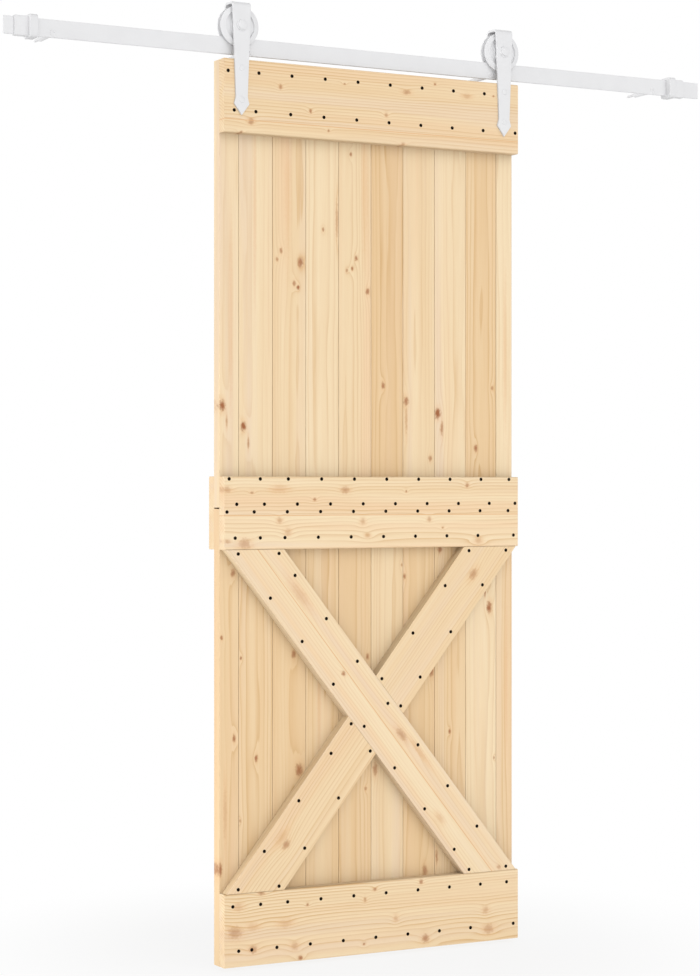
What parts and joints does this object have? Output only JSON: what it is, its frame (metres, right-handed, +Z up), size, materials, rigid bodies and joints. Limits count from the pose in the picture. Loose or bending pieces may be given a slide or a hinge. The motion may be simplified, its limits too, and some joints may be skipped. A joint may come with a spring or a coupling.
{
  "type": "sliding door",
  "caption": "Tongue-and-groove softwood sliding door with rails and crossed braces, hung by arrow-tipped straps and grooved wheels on a flat white wall track with end stops.",
  "frame": {"origin": "on the wall plane, at the middle of the row of wall fixings", "axes": "+X right along the track seen from the room, +Y into the wall, +Z up"},
  "size_m": [1.889, 0.141, 2.2325],
  "materials": {
    "planks": "planed softwood, unfinished",
    "rails": "planed softwood, unfinished",
    "braces": "planed softwood, unfinished",
    "black_screws": "black phosphate",
    "white_metal": "white powder coat",
    "bumpers": "white moulded rubber",
    "plain_steel": "zinc plated"
  },
  "bodies": {
    "track_assembly": {"track": "white_metal", "track_spacers": "white_metal", "lag_bolts": "white_metal", "left_stop": "white_metal", "right_stop": "white_metal", "left_bumper": "bumpers", "right_bumper": "bumpers", "grub_screws": "plain_steel"},
    "door_leaf": {"upper_plank_01": "planks", "upper_plank_02": "planks", "upper_plank_03": "planks", "upper_plank_04": "planks", "upper_plank_05": "planks", "upper_plank_06": "planks", "upper_plank_07": "planks", "upper_plank_08": "planks", "upper_plank_09": "planks", "upper_plank_10": "planks", "lower_plank_01": "planks", "lower_plank_02": "planks", "lower_plank_03": "planks", "lower_plank_04": "planks", "lower_plank_05": "planks", "lower_plank_06": "planks", "lower_plank_07": "planks", "lower_plank_08": "planks", "lower_plank_09": "planks", "lower_plank_10": "planks", "top_rail": "rails", "middle_rail": "rails", "bottom_rail": "rails", "back_rail": "rails", "long_brace": "braces", "upper_short_brace": "braces", "lower_short_brace": "braces", "top_rail_screws": "black_screws", "middle_rail_screws": "black_screws", "bottom_rail_screws": "black_screws", "long_brace_screws": "black_screws", "upper_brace_screws": "black_screws", "lower_brace_screws": "black_screws", "left_hanger_strap": "white_metal", "right_hanger_strap": "white_metal", "axle_sleeves": "plain_steel", "axle_bolts": "white_metal", "axle_nuts": "plain_steel", "strap_bolts": "white_metal", "strap_nuts": "plain_steel"},
    "left_wheel_assembly": {"left_wheel": "white_metal", "left_wheel_bearing": "plain_steel"},
    "right_wheel_assembly": {"right_wheel": "white_metal", "right_wheel_bearing": "plain_steel"}
  },
  "joints": [
    {"name": "door_slide", "type": "slide", "parent": "track_assembly", "child": "door_leaf", "axis": [1, 0, 0], "range_m": [-0.4548, 0.4548]},
    {"name": "left_wheel_spin", "type": "hinge", "parent": "door_leaf", "child": "left_wheel_assembly", "pos_m": [-0.3575, -0.0745, 0.0565], "axis": [0, 1, 0], "continuous": true},
    {"name": "right_wheel_spin", "type": "hinge", "parent": "door_leaf", "child": "right_wheel_assembly", "pos_m": [0.3575, -0.0745, 0.0565], "axis": [0, 1, 0], "continuous": true}
  ],
  "couplings": [
    {"joint": "left_wheel_spin", "follows": "door_slide", "rad_per_m": 38.168},
    {"joint": "right_wheel_spin", "follows": "door_slide", "rad_per_m": 38.168}
  ]
}
